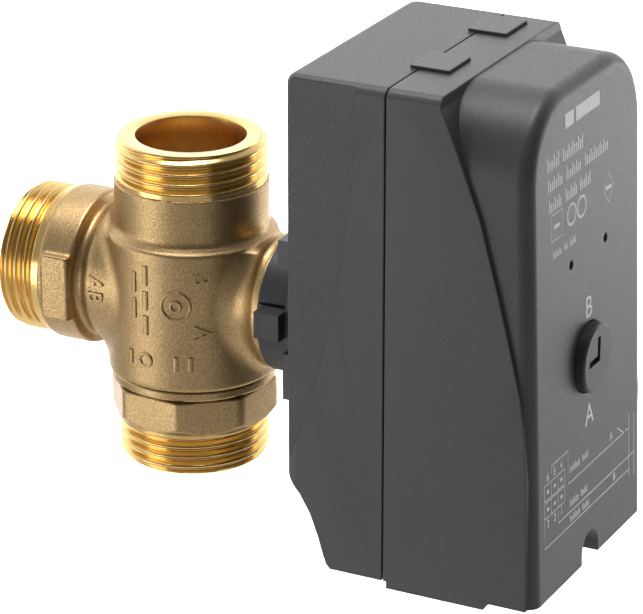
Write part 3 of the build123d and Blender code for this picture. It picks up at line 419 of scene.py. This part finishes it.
# ------------------------------------------------------------------ rounded solids by distance
def unit(vectors):
    """Vectors scaled to length one."""
    return vectors / np.maximum(np.linalg.norm(vectors, axis=1), 1e-12)[:, None]


def rounded_round(points, axis, radius, low, high, rounding):
    """Distance and outward direction of a cylinder with rounded rims, about Z or the stem axis Y."""
    x, y, z = points[:, 0], points[:, 1], points[:, 2] - BALL_Z
    a, b, along = (x, y, z) if axis == "Z" else (x, z, y)
    across = np.maximum(np.hypot(a, b), 1e-9)
    side = np.where(along > (low + high) / 2, 1.0, -1.0)
    dx = across - (radius - rounding)
    dy = np.abs(along - (low + high) / 2) - ((high - low) / 2 - rounding)
    px, py = np.maximum(dx, 0), np.maximum(dy, 0)
    outside = np.hypot(px, py)
    distance = np.minimum(np.maximum(dx, dy), 0) + outside - rounding
    wx = np.where(outside > 0, px, dx > dy)
    wy = np.where(outside > 0, py, dx <= dy)
    wa, wb, wl = wx * a / across, wx * b / across, wy * side
    direction = np.stack((wa, wb, wl) if axis == "Z" else (wa, wl, wb), axis=1)
    return distance, unit(direction)


def rounded_box(points, centre, half, rounding):
    """Distance and outward direction of a box with rounded edges."""
    away = points - np.array(centre)
    q = np.abs(away) - (np.array(half) - rounding)
    push = np.maximum(q, 0)
    outside = np.linalg.norm(push, axis=1)
    distance = np.minimum(q.max(axis=1), 0) + outside - rounding
    inner = np.eye(3)[q.argmax(axis=1)]
    direction = np.where((outside > 0)[:, None], push, inner) * np.where(away < 0, -1.0, 1.0)
    return distance, unit(direction)


def merge(first, second, fillet):
    """Union whose fillet shrinks to nothing where the two surfaces run side by side."""
    (a, na), (b, nb) = first, second
    k = np.maximum(fillet * np.clip(1.0 - (na * nb).sum(axis=1), 0.0, 1.0), 1e-6)
    h = np.maximum(k - np.abs(a - b), 0.0) / k
    share = np.clip(0.5 + 0.5 * (b - a) / k, 0.0, 1.0)[:, None]
    return np.minimum(a, b) - h * h * k * 0.25, unit(na * share + nb * (1 - share))


BORE_GAP = 0.6                # mm between the bore of a threaded end and the casting round it
NECK_AB_R = 16.2
CAST_SOLIDS = (
    # axis, radius, low, high, rim rounding, fillet to what comes before it, all in mm
    ("Z", 17.0, 0.0, 24.7, 0.2, 0.0),           # neck of port B
    ("Z", BARREL_R, -19.0, 13.4, 1.1, 2.4),     # barrel
    ("Y", NECK_AB_R, 2.0, 20.4, 3.4, 5.0),      # neck of port AB
    ("Y", 14.9, 10.0, 24.0, 0.2, 3.0),          # groove behind its collar
    ("Y", 17.4, 21.4, 30.0, 0.9, 1.8),          # its collar
    ("Y", 12.2, -22.0, -4.0, 0.4, 6.5),         # boss of the stem
    ("Y", 14.5, -24.0, -22.7, 0.5, 6.0),        # its flange
)
# the two wrench pads on the collar, as one box: centre, half size, edge rounding, fillet, all in mm
PADS = ((0.0, 25.1, 0.0), (17.8, 3.3, 7.5), 0.5, 0.7)


def casting_surface(points):
    """Distance and direction of the outside of the casting."""
    total = None
    for axis, radius, low, high, rounding, fillet in CAST_SOLIDS:
        part = rounded_round(points, axis, radius * MM, low * MM, high * MM, rounding * MM)
        total = part if total is None else merge(total, part, fillet * MM)
    centre, half, rounding, fillet = PADS
    place = (centre[0] * MM, centre[1] * MM, centre[2] * MM + BALL_Z)
    return merge(total, rounded_box(points, place, [h * MM for h in half], rounding * MM), fillet * MM)


# the end piece of port A, in mm, with heights from the crossing
FLAT = 17.46                  # half width across the octagon's flats
CORNER_R = 18.72              # its rounded corners
CORNER_SOFTNESS = 0.35
OCTAGON_TURN = -5.0           # degrees
OCTAGON_TOP = -21.85
OCTAGON_LOW = -29.6
CONE_SLOPE = 0.95             # of the cone that cuts the octagon's lower corners
CONE_STEP = 0.15
SWEEP_STEPS = 26              # rows of points down the octagon
AROUND = 360                  # points in a row
BAND = (
    # height and radius of the round band above the octagon
    (-19.05, 17.9), (-19.15, 18.15), (-19.4, 18.3), (-20.7, 18.3), (-21.0, 18.15), (-21.15, 17.8),
    (-21.2, 17.2), (-21.5, 17.2),
)
OCTAGON_EDGE = ((0.35, 0.5), (0.23, 0.18), (0.0, 0.0))    # height over its top, distance inside its outline


def octagon_radius(angle):
    """Distance from the pipe axis to the octagon's outline, with rounded corners."""
    side = 360.0 / 8
    off = (math.degrees(angle) - OCTAGON_TURN + side / 2) % side - side / 2
    flat = FLAT / math.cos(math.radians(off))
    h = max(CORNER_SOFTNESS - abs(flat - CORNER_R), 0.0) / CORNER_SOFTNESS
    return min(flat, CORNER_R) - h * h * CORNER_SOFTNESS * 0.25


def make_end_piece():
    """Lower end piece: a round band over an octagon whose lower edge is turned to a cone."""
    angles = [2 * math.pi * k / AROUND for k in range(AROUND)]
    outline = [octagon_radius(a) for a in angles]
    rows = [(z, [radius] * AROUND) for z, radius in BAND]
    rows += [(OCTAGON_TOP + rise, [r - inset for r in outline]) for rise, inset in OCTAGON_EDGE]
    for i in range(1, SWEEP_STEPS + 1):
        z = OCTAGON_TOP + (OCTAGON_LOW - OCTAGON_TOP) * i / SWEEP_STEPS
        cone = FLAT - CONE_STEP + CONE_SLOPE * (z - OCTAGON_LOW)
        rows.append((z, [min(r, cone) for r in outline]))
    inner = [BORE_R / MM + BORE_GAP] * AROUND
    rows += [(OCTAGON_LOW, inner), (BAND[0][0], inner)]
    points = [(r * MM * math.cos(a), r * MM * math.sin(a), BALL_Z + z * MM)
              for z, radii in rows for r, a in zip(radii, angles)]
    faces = loop_faces(len(rows), AROUND)
    piece = add_piece("end_piece_octagon", points, faces, "satin_brass")
    soften(piece, 20)
    attached(piece, "machined_brass", "port_a_end_piece")


# ------------------------------------------------------------------ remeshed pieces
DRAW_PASSES = 16              # times that a remeshed piece is drawn onto its surface
SMOOTHED = range(3, 12)       # the passes that are followed by smoothing
LONGEST_STEP = 0.6 * MM       # that a point moves in one pass
GROWN = 0.3                   # mm that the rough solids stand outside the surface


def disc_solid(axis, radius, low, high, segments=96):
    """Closed cylinder as mesh data, for the rough body and the cutters."""
    points = []
    for h in (low, high):
        for k in range(segments):
            a = 2 * math.pi * k / segments
            u, v = radius * math.cos(a), radius * math.sin(a)
            points.append((u, v, h + BALL_Z) if axis == "Z" else (u, h, v + BALL_Z))
    faces = [(k, (k + 1) % segments, segments + (k + 1) % segments, segments + k) for k in range(segments)]
    faces.append(tuple(reversed(range(segments))))
    faces.append(tuple(range(segments, 2 * segments)))
    return points, faces


def joined(parts):
    """One list of points and faces from several."""
    points, faces = [], []
    for more_points, more_faces in parts:
        shift = len(points)
        points += more_points
        faces += [tuple(i + shift for i in face) for face in more_faces]
    return points, faces


def relaxed(points, edges, share=0.5):
    """One step of smoothing: each point moves towards the mean of its neighbours."""
    total = np.zeros_like(points)
    count = np.zeros(len(points))
    for here, there in ((0, 1), (1, 0)):
        np.add.at(total, edges[:, here], points[edges[:, there]])
        np.add.at(count, edges[:, here], 1)
    return points + (total / np.maximum(count, 1)[:, None] - points) * share


def keep_largest(piece):
    """Removes all but the largest connected part of a mesh, such as shells left inside it."""
    work = bmesh.new()
    work.from_mesh(piece.data)
    largest = []
    for start in work.verts:
        if start.tag:
            continue
        start.tag = True
        group = [start]
        for vert in group:
            for edge in vert.link_edges:
                other = edge.other_vert(vert)
                if not other.tag:
                    other.tag = True
                    group.append(other)
        if len(group) > len(largest):
            largest = group
    kept = set(largest)
    bmesh.ops.delete(work, geom=[vert for vert in work.verts if vert not in kept], context="VERTS")
    work.to_mesh(piece.data)
    work.free()


def drawn_piece(name, rough, surface, cutters, voxel, look):
    """Remeshes a rough solid finely, draws it onto a distance surface and cuts its openings."""
    piece = add_piece(name, *joined([disc_solid(*solid) for solid in rough]), look)
    soften(piece, 180)
    remesh = piece.modifiers.new("skin", "REMESH")
    remesh.mode = "VOXEL"
    remesh.voxel_size = voxel * 1
    apply_modifiers(piece)
    keep_largest(piece)
    points = points_of(piece.data)
    edges = np.empty(len(piece.data.edges) * 2, dtype=np.int64)
    piece.data.edges.foreach_get("vertices", edges)
    edges = edges.reshape(-1, 2)
    for turn in range(DRAW_PASSES):
        distance, direction = surface(points)
        points = points - np.clip(distance, -LONGEST_STEP, LONGEST_STEP)[:, None] * direction
        if turn in SMOOTHED:
            points = relaxed(points, edges)
    piece.data.vertices.foreach_set("co", points.ravel())
    piece.data.update()
    for index, solid in enumerate(cutters):
        tool = add_piece("cutter_%d" % index, *disc_solid(*solid), look)
        soften(tool, 180)
        cut = piece.modifiers.new("cut", "BOOLEAN")
        cut.operation = "DIFFERENCE"
        cut.solver = "MANIFOLD"
        cut.object = tool
        apply_modifiers(piece)
        bpy.data.objects.remove(tool)
    piece.data.materials.clear()
    piece.data.materials.append(LOOKS[look])
    piece.data.shade_smooth()
    soften(piece, 50)
    return piece


def make_casting():
    """The cast body."""
    rough = [(axis, (radius + GROWN) * MM, low * MM, high * MM)
             for axis, radius, low, high, _, _ in CAST_SOLIDS]
    rough.append(("Y", 18.9 * MM, 21.8 * MM, 28.4 * MM))          # takes in the wrench pads
    inner = BORE_R + BORE_GAP * MM
    cutters = [
        ("Z", inner, -22 * MM, 28 * MM),                          # through bore
        ("Z", (BARREL_R - 2.6) * MM, -22 * MM, -12 * MM),         # screw of the end piece
        ("Y", inner, 4 * MM, 34 * MM),                            # bore of port AB
        ("Y", 6.0 * MM, -26 * MM, -4 * MM),                       # hole of the stem
    ]
    body = drawn_piece("cast_body", rough, casting_surface, cutters, 0.40 * MM, "cast_brass")
    attached(body, "cast_brass", "valve_body")


# ------------------------------------------------------------------ lettering and marks
FONT_SIZE = 1.37              # font size for a capital letter one unit high
# across a raised line: place over its width, height over its thickness
RIDGE_PROFILE = ((-0.5, 0.0), (-0.42, 0.8), (-0.25, 1.0), (0.25, 1.0), (0.42, 0.8), (0.5, 0.0))


def glyphs(text, height, thickness, bevel):
    """Mesh data of a short text, centred, with its front face at thickness."""
    curve = bpy.data.curves.new("glyph", "FONT")
    curve.body = text
    curve.size = height * FONT_SIZE
    curve.align_x = "CENTER"
    curve.align_y = "CENTER"
    curve.extrude = thickness / 2
    curve.bevel_depth = bevel
    curve.bevel_resolution = 1
    carrier = bpy.data.objects.new("glyph", curve)
    bpy.context.scene.collection.objects.link(carrier)
    bpy.context.view_layer.update()
    mesh = bpy.data.meshes.new_from_object(carrier.evaluated_get(bpy.context.evaluated_depsgraph_get()))
    points = [(v.co.x, v.co.y, v.co.z + thickness / 2 - bevel) for v in mesh.vertices]
    faces = [tuple(p.vertices) for p in mesh.polygons]
    bpy.data.objects.remove(carrier)
    bpy.data.meshes.remove(mesh)
    return points, faces


def ridge(path, width, thickness, closed=False, steps=6):
    """Mesh data of a flat-topped line with rounded shoulders along a path of (u, v) points."""
    spots = [Vector(p) for p in path]
    dense = []
    pairs = list(zip(spots, spots[1:] + spots[:1]))
    for start, end in pairs if closed else pairs[:-1]:
        dense += [start.lerp(end, i / steps) for i in range(steps)]
    if not closed:
        dense.append(spots[-1])
    points, faces = [], []
    count, wide = len(dense), len(RIDGE_PROFILE)
    for i, spot in enumerate(dense):
        before = dense[i - 1] if closed or i > 0 else spot
        after = dense[(i + 1) % count] if closed or i < count - 1 else spot
        across = (after - before).orthogonal().normalized()
        for side, rise in RIDGE_PROFILE:
            p = spot + across * side * width
            points.append((p.x, p.y, rise * thickness))
    for i in range(count if closed else count - 1):
        k = (i + 1) % count
        faces += [(i * wide + j, i * wide + j + 1, k * wide + j + 1, k * wide + j) for j in range(wide - 1)]
        faces.append((i * wide + wide - 1, i * wide, k * wide, k * wide + wide - 1))
    if not closed:
        faces.append(tuple(range(wide)))
        faces.append(tuple(reversed(range((count - 1) * wide, count * wide))))
    return points, faces


def ring(radius, count):
    """Points of a circle in a mark's plane."""
    return [(radius * math.cos(2 * math.pi * k / count), radius * math.sin(2 * math.pi * k / count))
            for k in range(count)]


def moved(data, u, v):
    """Mark mesh data shifted in its plane."""
    points, faces = data
    return [(p[0] + u, p[1] + v, p[2]) for p in points], faces


def wrapped(data, axis, radius, angle, along, sunk):
    """Lays a mark on a round surface, its top towards the dial and its reading line downwards."""
    points, faces = data
    laid = []
    for u, v, w in points:
        r = radius + w - sunk
        if axis == "Z":
            a = math.radians(angle) + v / radius
            laid.append((r * math.cos(a), r * math.sin(a), BALL_Z + along - u))
        else:
            a = math.radians(angle) + u / radius
            laid.append((r * math.cos(a), along - v, BALL_Z + r * math.sin(a)))
    return laid, faces


def make_cast_marks():
    """Raised casting marks: port letters and plain signs in place of the maker's own."""
    rise, sunk = 0.62 * MM, 0.25 * MM
    barrel, neck = BARREL_R * MM, NECK_AB_R * MM

    def letters(text, high):
        """Raised letters of a height in mm."""
        return glyphs(text, high * MM, rise, 0.12 * MM)

    def bar(low, high, v, width):
        """A straight raised line from low to high at v, in mm."""
        return ridge([(low * MM, v * MM), (high * MM, v * MM)], width * MM, rise)

    def circle(radius, count):
        """A raised ring of a radius in mm."""
        return ridge(ring(radius * MM, count), 0.8 * MM, rise, closed=True, steps=2)

    rings = joined([circle(3.2, 28), circle(1.1, 14)])
    lines = joined([bar(-8.0, -3.4, 1.6, 1.5), bar(-2.0, 2.2, 1.6, 1.5), bar(3.6, 8.0, 1.6, 1.5),
                    bar(-6.0, -1.4, -1.3, 1.1), bar(0.0, 4.6, -1.3, 1.1)])
    pair = joined([bar(-1.6, 1.6, 1.6, 1.2), bar(-1.6, 1.6, -1.6, 1.2)])
    bar_and_ring = joined([bar(-1.6, 1.6, 0, 1.2), moved(circle(1.5, 18), 0, 4 * MM)])
    marks = (
        # mark, axis and radius of the surface, degrees round it, mm along it
        (letters("B", 3.9), "Z", barrel, -145.7, 7.8),
        (letters("A", 3.9), "Z", barrel, -145.2, -4.9),
        (rings, "Z", barrel, -162.7, 1.4),
        (lines, "Z", barrel, 171.0, 2.0),
        (letters("AB", 3.6), "Y", neck, 176.8, 15.6),
        (pair, "Z", barrel, -158.0, -12.0),
        (bar_and_ring, "Z", barrel, 163.0, -12.0),
    )
    laid = [wrapped(mark, axis, radius, angle, along * MM, sunk)
            for mark, axis, radius, angle, along in marks]
    piece = add_piece("casting_marks", *joined(laid), "cast_brass")
    soften(piece, 45)
    attached(piece, "cast_brass")


# what counts as the front face, when it is looked up on the cover
FACING = 0.99                 # cosine of the angle between a polygon's normal and -Y
PARALLEL = 0.99995            # cosine between the normals of polygons of one plane
FACE_ZONE = 11.0 * MM         # from the cover's foremost point back
PRINT_SUNK = 0.02 * MM        # how far the printing reaches into the face


def face_plane():
    """Point on the casing's leaning front face at the dial's height, its upward and outward directions."""
    cover = nodes["front_cover"]
    turn = cover.matrix_world.to_3x3()
    sides = [((turn @ p.normal).normalized(), cover.matrix_world @ p.center, p.area)
             for p in cover.data.polygons]
    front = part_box("front_cover")[0][1]
    leaning = [side for side in sides if side[0].y < -FACING and side[1].y < front + FACE_ZONE]
    normal = max(leaning, key=lambda side: side[2])[0]
    level = max(normal.dot(centre) for direction, centre, _ in leaning if direction.dot(normal) > PARALLEL)
    up = normal.cross(Vector((1, 0, 0)))
    start = Vector((0, (level - normal.z * BALL_Z) / normal.y, BALL_Z))
    return start, up, normal


def make_print():
    """White printing on the front face: dial letters, a terminal plan, plain signs, strokes for text."""
    start, up, normal = face_plane()
    thick = 0.05 * MM

    def line(*pts, w=0.28):
        """A line of width w through points (u, v), in mm from the dial's axis."""
        return ridge([(u * MM, v * MM) for u, v in pts], w * MM, thick, steps=1)

    def strokes(v, height, *spans):
        """A row of short upright strokes, which stand for a line of text."""
        bars = []
        for first, last in spans:
            count = max(2, round((last - first) / (0.34 * height)))
            for i in range(count):
                u = first + (last - first) * (i + 0.5) / count
                tall = 2 * height * (0.5, 0.34, 0.34, 0.5, 0.34)[i % 5]
                low = v - height * 0.5
                bars.append(line((u, low), (u, low + tall), w=0.19 * height))
        return bars

    def text(t, u, v, h):
        """Letters or digits of height h."""
        return moved(glyphs(t, h * MM, thick, 0.0), u * MM, v * MM)

    def outline(*pts):
        """A closed line."""
        return line(*pts, pts[0])

    def square(u, v, h):
        """A square of half width h."""
        return outline((u - h, v - h), (u + h, v - h), (u + h, v + h), (u - h, v + h))

    def circle(u, v, radius):
        """A ring."""
        return moved(ridge(ring(radius * MM, 20), 0.6 * MM, thick, True, 1), u * MM, v * MM)

    marks = [text("B", 0.0, 10.9, 5.0), text("A", 0.0, -13.2, 5.0)]
    # two bars, and rows of strokes: height above the dial, letter height, spans across the face
    marks += [line((-11.6, 55.0), (-7.2, 55.0), w=3.4), line((-6.2, 55.0), (6.2, 55.0), w=3.4)]
    rows_of_strokes = (
        (48.4, 3.0, (-21.0, -14.6), (-13.2, -2.4)),
        (43.9, 2.8, (-20.6, -13.0), (-11.4, -3.6), (-1.8, 10.6)),
        (39.4, 2.8, (-20.2, -13.6), (-11.8, -5.6), (-4.4, 1.4)),
        (28.6, 1.8, (-18.4, -13.8), (-12.6, -10.8), (-9.8, -6.4)),
        (-21.6, 1.7, (-10.6, -5.0), (-4.0, -0.6)),
        (-29.3, 1.7, (-10.6, -5.8), (-4.8, -1.2)),
        (-32.9, 1.7, (-10.6, -5.0), (-4.0, -0.4)),
    )
    for v, height, *spans in rows_of_strokes:
        marks += strokes(v, height, *spans)
    # plain signs: a square with a bar, two rings, a diamond with a bar
    marks += [square(-16.2, 34.4, 2.8), line((-17.6, 34.4), (-14.8, 34.4), w=0.9)]
    marks += [circle(-8.6, 34.4, 2.2), circle(-3.4, 34.4, 2.2)]
    marks += [outline((10.8, 30.6), (13.4, 34.0), (10.8, 37.4), (8.2, 34.0)),
              line((9.2, 34.0), (12.4, 34.0), w=0.9)]
    # terminal plan: two rows of three terminals, two wires and two supply lines
    columns, rows = (-21.9, -18.4, -14.9), (-22.05, -26.0)
    for u in columns:
        for v in rows:
            marks += [square(u, v, 1.75), line((u - 0.5, v), (u + 0.5, v), w=0.9)]
    places = [(u, -18.8) for u in columns] + [(u, -29.3) for u in reversed(columns)]
    marks += [text(digit, u, v, 1.8) for digit, (u, v) in zip("654123", places)]
    left_line, right_line, switch = 21.7, 24.5, (18.7, -24.6)
    marks += [line((-20.1, -18.6), (-20.1, -17.0), (-11.4, -17.0), (-11.4, -24.6), switch),
              line(switch, (15.2, -22.1)),
              line((19.7, -24.6), (left_line, -24.6)),
              line((-16.7, -28.4), (-16.7, -31.3), (right_line, -31.3)),
              line((-23.6, -28.0), (-23.6, -34.4), (left_line, -34.4)),
              line((left_line, -21.4), (left_line, -36.0)),
              line((right_line, -22.2), (right_line, -36.9))]
    marks += [text("A", 11.8, -22.8, 1.8), text("B", 13.4, -32.9, 1.8)]
    points, faces = joined(marks)
    placed = [start + Vector((u, 0, 0)) + up * v + normal * (w - PRINT_SUNK) for u, v, w in points]
    piece = add_piece("front_printing", placed, faces, "print", smooth=False)
    attached(piece, "white_acetal")


# ------------------------------------------------------------------ camera, light, floor
FLOOR_Z = -0.3                # the valve hangs well above the floor
FLOOR_REACH = 8.0             # from the middle to each edge
LAMPS = (
    # name, place, point aimed at, width and height, watts, spread in degrees
    ("floor_wash", (0.95, 0.5, 0.9), (0.95, 0.51, FLOOR_Z), (0.9, 0.9), 12.0, 60.0),
    ("low_left", (-0.70, 0.50, -0.08), (0.0, -0.03, 0.05), (0.5, 0.4), 1.35, 150.0),
    ("low_right", (0.95, -0.56, -0.12), (0.0, -0.09, 0.04), (0.6, 0.4), 1.1, 120.0),
    ("top", (0.05, 0.1, 0.9), (0.05, 0.0, 0.04), (0.5, 0.5), 0.8, 50.0),
)
SKY = (
    # direction, cosine to it from and to, strength at from and at to; the strengths multiply
    ((0.75, 0.66, 0.0), -0.4, 0.9, 0.17, 2.0),
    ((0.0, 0.0, 1.0), 0.40, 0.85, 1.0, 0.35),
)


def aim(thing, target):
    """Turns a camera or lamp towards a point, upright."""
    direction = Vector(target) - thing.location
    thing.rotation_euler = direction.to_track_quat("-Z", "Y").to_euler()


def make_camera():
    """Three-quarter view from the dial's left, looking a little down."""
    azimuth, elevation = math.radians(-63.0), math.radians(21.8)
    distance = 0.774              # metres
    target = Vector((0, -31.77 * MM, BALL_Z - 0.27 * MM))
    back = Vector((math.sin(azimuth) * math.cos(elevation), -math.cos(azimuth) * math.cos(elevation),
                   math.sin(elevation)))
    data = bpy.data.cameras.new("camera")
    data.lens = 200.0
    data.sensor_width = 36.0
    data.clip_start = 0.01
    camera = bpy.data.objects.new("camera", data)
    camera.location = target + back * distance
    aim(camera, target)
    bpy.context.scene.collection.objects.link(camera)
    bpy.context.scene.camera = camera


def area_light(name, place, target, size, power, spread):
    """A soft rectangular lamp."""
    data = bpy.data.lights.new(name, "AREA")
    data.shape = "RECTANGLE"
    data.size, data.size_y = size
    data.energy = power
    data.spread = math.radians(spread)
    lamp = bpy.data.objects.new(name, data)
    lamp.location = place
    aim(lamp, target)
    bpy.context.scene.collection.objects.link(lamp)


def make_world():
    """Surroundings that are bright round the horizon on the far side and dim behind the camera."""
    world = bpy.data.worlds.new("studio")
    world.use_nodes = True
    tree = world.node_tree
    background = tree.nodes["Background"]
    view = tree.nodes.new("ShaderNodeTexCoord").outputs["Generated"]
    level = None
    for direction, low, high, dim, bright in SKY:
        along = tree.nodes.new("ShaderNodeVectorMath")
        along.operation = "DOT_PRODUCT"
        along.inputs[1].default_value = direction
        tree.links.new(view, along.inputs[0])
        fall = tree.nodes.new("ShaderNodeMapRange")
        for key, value in (("From Min", low), ("From Max", high), ("To Min", dim), ("To Max", bright)):
            fall.inputs[key].default_value = value
        tree.links.new(along.outputs["Value"], fall.inputs["Value"])
        if level is None:
            level = fall.outputs["Result"]
        else:
            product = tree.nodes.new("ShaderNodeMath")
            product.operation = "MULTIPLY"
            tree.links.new(level, product.inputs[0])
            tree.links.new(fall.outputs["Result"], product.inputs[1])
            level = product.outputs["Value"]
    tree.links.new(level, background.inputs["Strength"])
    background.inputs["Color"].default_value = (1.0, 1.0, 1.0, 1.0)
    bpy.context.scene.world = world


def make_stage():
    """Pale floor well under the hanging valve, lit where it shows, and soft lamps."""
    signs = ((-1, -1), (1, -1), (1, 1), (-1, 1))
    corners = [(x * FLOOR_REACH, y * FLOOR_REACH, FLOOR_Z) for x, y in signs]
    floor = add_piece("floor", corners, [(0, 1, 2, 3)], "floor", smooth=False)
    make_world()
    for lamp in LAMPS:
        area_light(*lamp)
    bpy.context.scene.view_settings.view_transform = "Standard"


make_camera()
make_stage()
finish_nodes()
make_threads()
make_casting()
make_end_piece()
make_cast_marks()
make_print()
